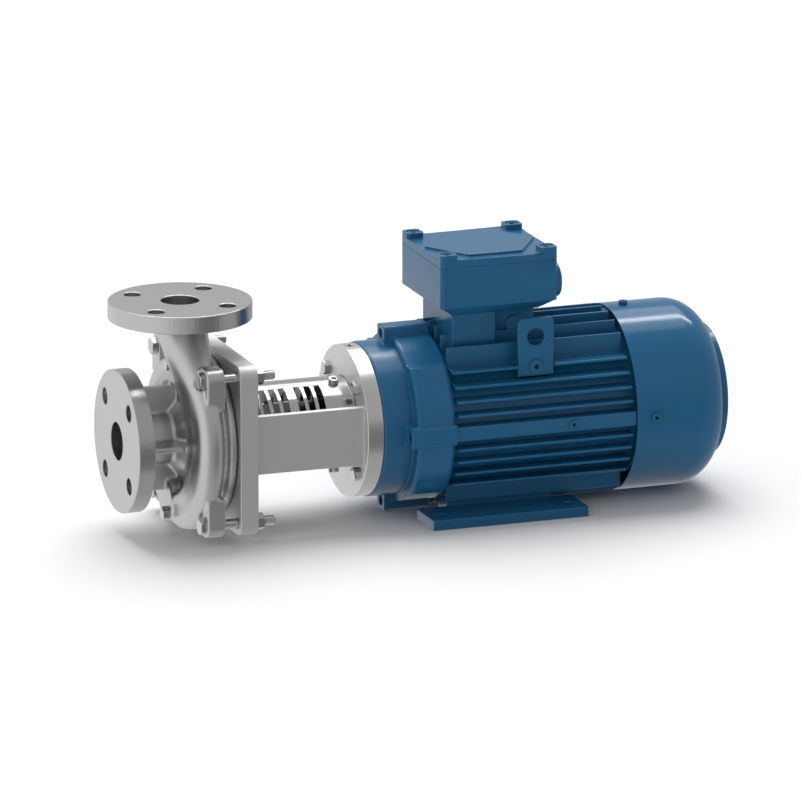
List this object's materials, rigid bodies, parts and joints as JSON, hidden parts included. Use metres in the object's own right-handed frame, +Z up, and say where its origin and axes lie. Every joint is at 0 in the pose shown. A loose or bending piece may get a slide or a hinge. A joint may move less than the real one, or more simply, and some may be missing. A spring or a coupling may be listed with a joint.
{
  "type": "close-coupled centrifugal pump",
  "caption": "Monobloc centrifugal pump: flanged volute casing, guarded lantern bracket and finned foot-mounted electric motor with a terminal box and fan cowl.",
  "frame": {"origin": "on the floor plane under the shaft, at the centre of the four foot holes of the motor", "axes": "+X along the shaft from the suction flange towards the fan cowl, +Y to the far side of the picture, +Z up through the discharge flange"},
  "size_m": [0.6575, 0.2058, 0.2851],
  "materials": {
    "stainless": "satin bead-blasted stainless steel",
    "casing_bolts": "bright stainless fasteners",
    "ring_metal": "machined stainless steel",
    "dark_gasket": "black sheet gasket",
    "ceramic": "ground ceramic",
    "carbon": "carbon seal face",
    "blue_paint": "satin blue paint on cast aluminium and sheet steel",
    "steel": "turned or ground steel",
    "zinc_screw": "zinc plated screw",
    "lamination": "stacked electrical sheet",
    "copper": "varnished copper winding",
    "end_ring": "cast aluminium",
    "fan_plastic": "moulded plastic fan",
    "black_plastic": "black moulded plastic",
    "brass": "brass stud",
    "seal_rubber": "black rubber"
  },
  "bodies": {
    "pump": {"volute_casing": "stainless", "casing_cover": "stainless", "lantern": "stainless", "guard_top": "stainless", "guard_bottom": "stainless", "casing_bolts": "casing_bolts", "casing_nuts": "casing_bolts", "drain_plug": "casing_bolts", "vent_plug": "casing_bolts", "lantern_bolts": "casing_bolts", "guard_screws": "casing_bolts", "casing_wear_ring": "ring_metal", "casing_gasket": "dark_gasket", "seal_seat": "ceramic", "drive_end_shield": "blue_paint", "stator_frame": "blue_paint", "near_foot": "blue_paint", "far_foot": "blue_paint", "rear_end_shield": "blue_paint", "fan_cowl": "blue_paint", "cowl_grille": "blue_paint", "terminal_box": "blue_paint", "terminal_box_cover": "blue_paint", "front_shield_screws": "steel", "foot_screws": "steel", "front_bearing_outer_race": "steel", "rear_bearing_outer_race": "steel", "wave_washer": "steel", "rear_shield_screws": "steel", "cowl_screws": "zinc_screw", "cover_screws": "zinc_screw", "earth_screws": "zinc_screw", "stator_core": "lamination", "stator_winding": "copper", "terminal_block": "black_plastic", "blanking_plugs": "black_plastic", "terminal_studs": "brass"},
    "rotor": {"impeller": "ring_metal", "impeller_key": "steel", "impeller_nut": "ring_metal", "stub_shaft": "ring_metal", "clamp_ring": "ring_metal", "clamp_screws": "steel", "seal_ring": "carbon", "seal_spring": "steel", "seal_collar": "ring_metal", "motor_shaft": "steel", "shaft_key": "steel", "rotor_core": "lamination", "rotor_end_rings": "end_ring", "front_bearing_inner_race": "steel", "rear_bearing_inner_race": "steel", "cooling_fan": "fan_plastic", "fan_circlip": "steel", "shaft_vee_ring": "seal_rubber"},
    "front_balls": {"front_bearing_balls": "steel"},
    "rear_balls": {"rear_bearing_balls": "steel"}
  },
  "joints": [
    {"name": "rotor_spin", "type": "hinge", "parent": "pump", "child": "rotor", "pos_m": [0, 0, 0.1], "axis": [1, 0, 0], "continuous": true},
    {"name": "front_balls_spin", "type": "hinge", "parent": "pump", "child": "front_balls", "pos_m": [-0.093, 0, 0.1], "axis": [1, 0, 0], "continuous": true},
    {"name": "rear_balls_spin", "type": "hinge", "parent": "pump", "child": "rear_balls", "pos_m": [0.1415, 0, 0.1], "axis": [1, 0, 0], "continuous": true}
  ],
  "couplings": [
    {"joint": "front_balls_spin", "follows": "rotor_spin", "ratio": 0.3957},
    {"joint": "rear_balls_spin", "follows": "rotor_spin", "ratio": 0.3948}
  ]
}
